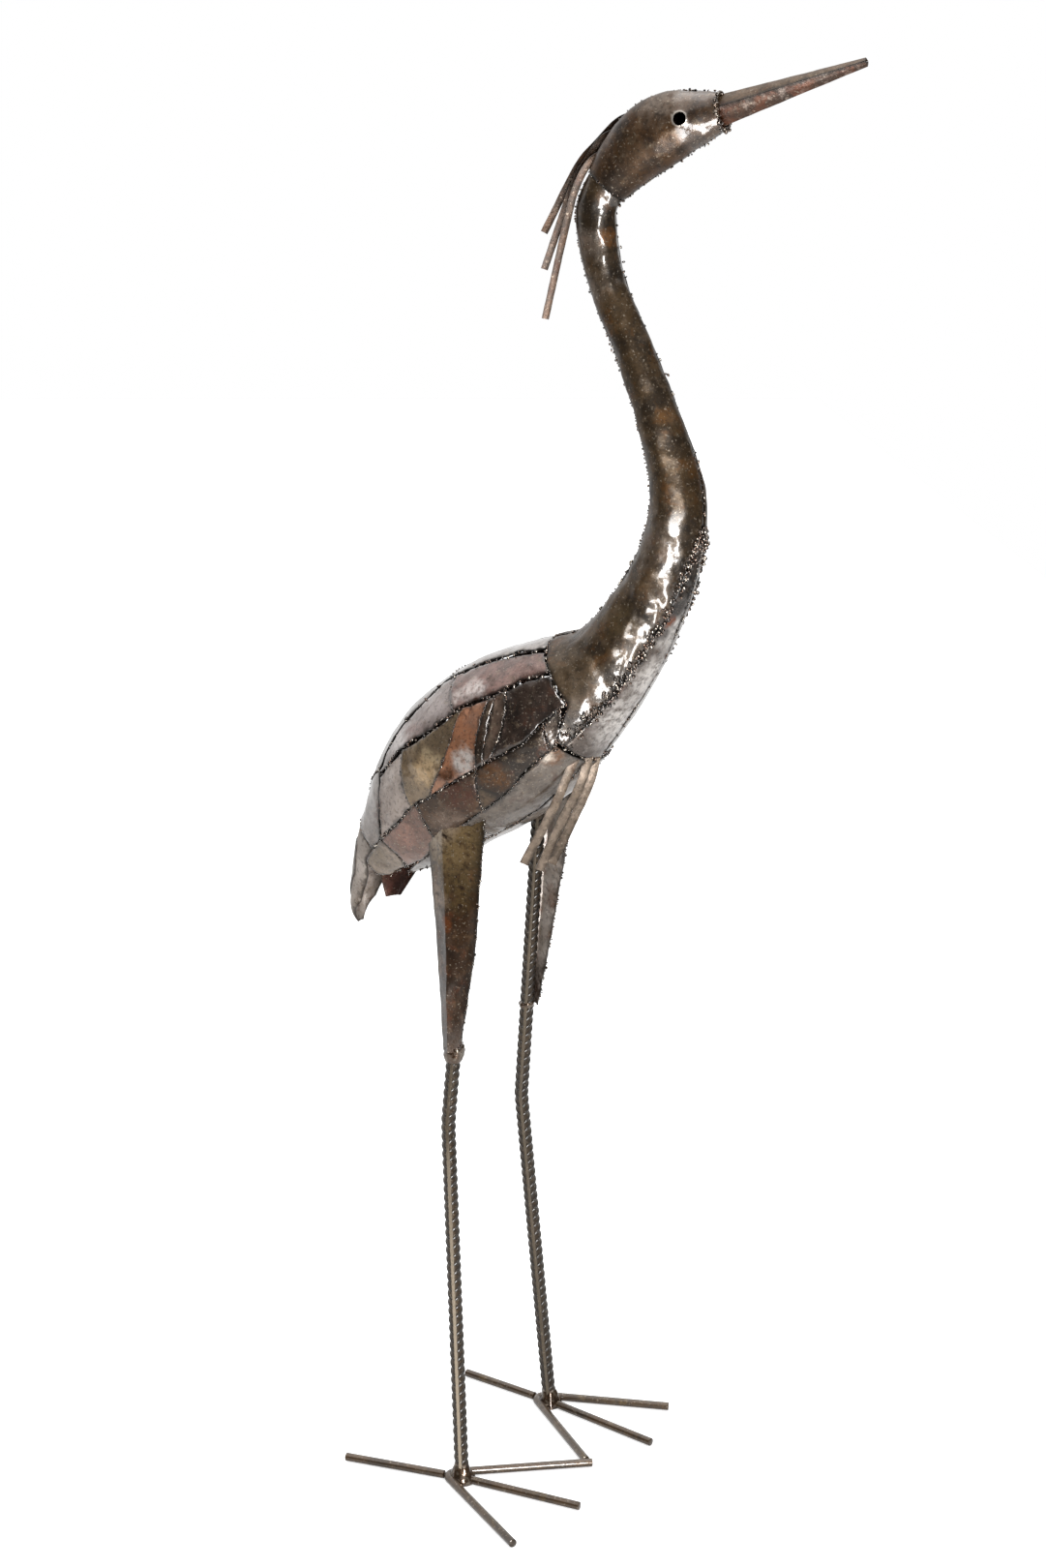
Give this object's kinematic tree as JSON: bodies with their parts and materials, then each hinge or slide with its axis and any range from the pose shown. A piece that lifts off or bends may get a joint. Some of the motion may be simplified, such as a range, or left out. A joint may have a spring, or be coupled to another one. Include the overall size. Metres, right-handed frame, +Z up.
{
  "type": "metal heron garden statue",
  "caption": "Standing heron garden statue welded from hammered sheet steel plates, with folded bill, crest and breast plumes, ribbed bar legs and round bar toes.",
  "frame": {"origin": "on the floor, under the middle of the bird's outline seen from above", "axes": "+Z up, the bird looks along +X, its left side is +Y"},
  "size_m": [0.5252, 0.3212, 1.3407],
  "materials": {
    "brown_sheet": "hammered sheet steel, heat-tinted and rusted in patches under clear gloss lacquer",
    "grey_sheet": "hammered sheet steel, heat-tinted and rusted in patches under clear gloss lacquer",
    "mauve_sheet": "hammered sheet steel, heat-tinted and rusted in patches under clear gloss lacquer",
    "dark_sheet": "hammered sheet steel, heat-tinted and rusted in patches under clear gloss lacquer",
    "copper_sheet": "hammered sheet steel, heat-tinted and rusted in patches under clear gloss lacquer",
    "olive_sheet": "hammered sheet steel, heat-tinted and rusted in patches under clear gloss lacquer",
    "ribbed_bar": "lacquered hot-rolled ribbed steel bar, dull",
    "round_bar": "lacquered drawn round steel bar, satin"
  },
  "bodies": {
    "root": {"head_right_half": "brown_sheet", "neck_right_half": "brown_sheet", "breast_right_plate": "grey_sheet", "right_back_ridge_front": "grey_sheet", "right_back_ridge_rear": "grey_sheet", "right_wing_upper_front": "mauve_sheet", "right_wing_upper_rear": "grey_sheet", "right_shoulder_plate": "dark_sheet", "right_covert_strip_front": "dark_sheet", "right_covert_strip_rear": "brown_sheet", "right_wing_middle": "copper_sheet", "right_wing_rear": "olive_sheet", "right_wing_tip": "mauve_sheet", "right_rump_edge": "grey_sheet", "right_shoulder_gusset": "dark_sheet", "right_flank_front": "olive_sheet", "right_flank_middle": "copper_sheet", "right_flank_rear": "mauve_sheet", "right_rump_plate": "mauve_sheet", "right_belly_side": "grey_sheet", "right_vent_plate": "grey_sheet", "right_thigh_sheet": "dark_sheet", "right_leg_bar": "ribbed_bar", "right_toe_pair": "round_bar", "right_middle_toe": "round_bar", "right_back_toe": "round_bar", "head_left_half": "brown_sheet", "neck_left_half": "brown_sheet", "breast_left_plate": "grey_sheet", "left_back_ridge_front": "grey_sheet", "left_back_ridge_rear": "grey_sheet", "left_wing_upper_front": "mauve_sheet", "left_wing_upper_rear": "grey_sheet", "left_shoulder_plate": "dark_sheet", "left_wing_rear": "olive_sheet", "left_wing_tip": "mauve_sheet", "left_rump_edge": "grey_sheet", "left_flank_front": "olive_sheet", "left_flank_middle": "copper_sheet", "left_flank_rear": "mauve_sheet", "left_rump_plate": "mauve_sheet", "left_belly_side": "grey_sheet", "left_vent_plate": "grey_sheet", "left_thigh_sheet": "dark_sheet", "left_leg_bar": "ribbed_bar", "left_toe_pair": "round_bar", "left_middle_toe": "round_bar", "left_back_toe": "round_bar", "keel_plate": "grey_sheet", "bill_upper_sheet": "grey_sheet", "bill_lower_sheet": "copper_sheet", "crest_strip_1": "copper_sheet", "crest_strip_2": "brown_sheet", "crest_strip_3": "brown_sheet", "breast_plume_1": "grey_sheet", "breast_plume_2": "grey_sheet", "breast_plume_3": "grey_sheet", "tail_blade": "grey_sheet", "tail_covert": "grey_sheet", "tail_scoop": "copper_sheet"}
  },
  "joints": []
}
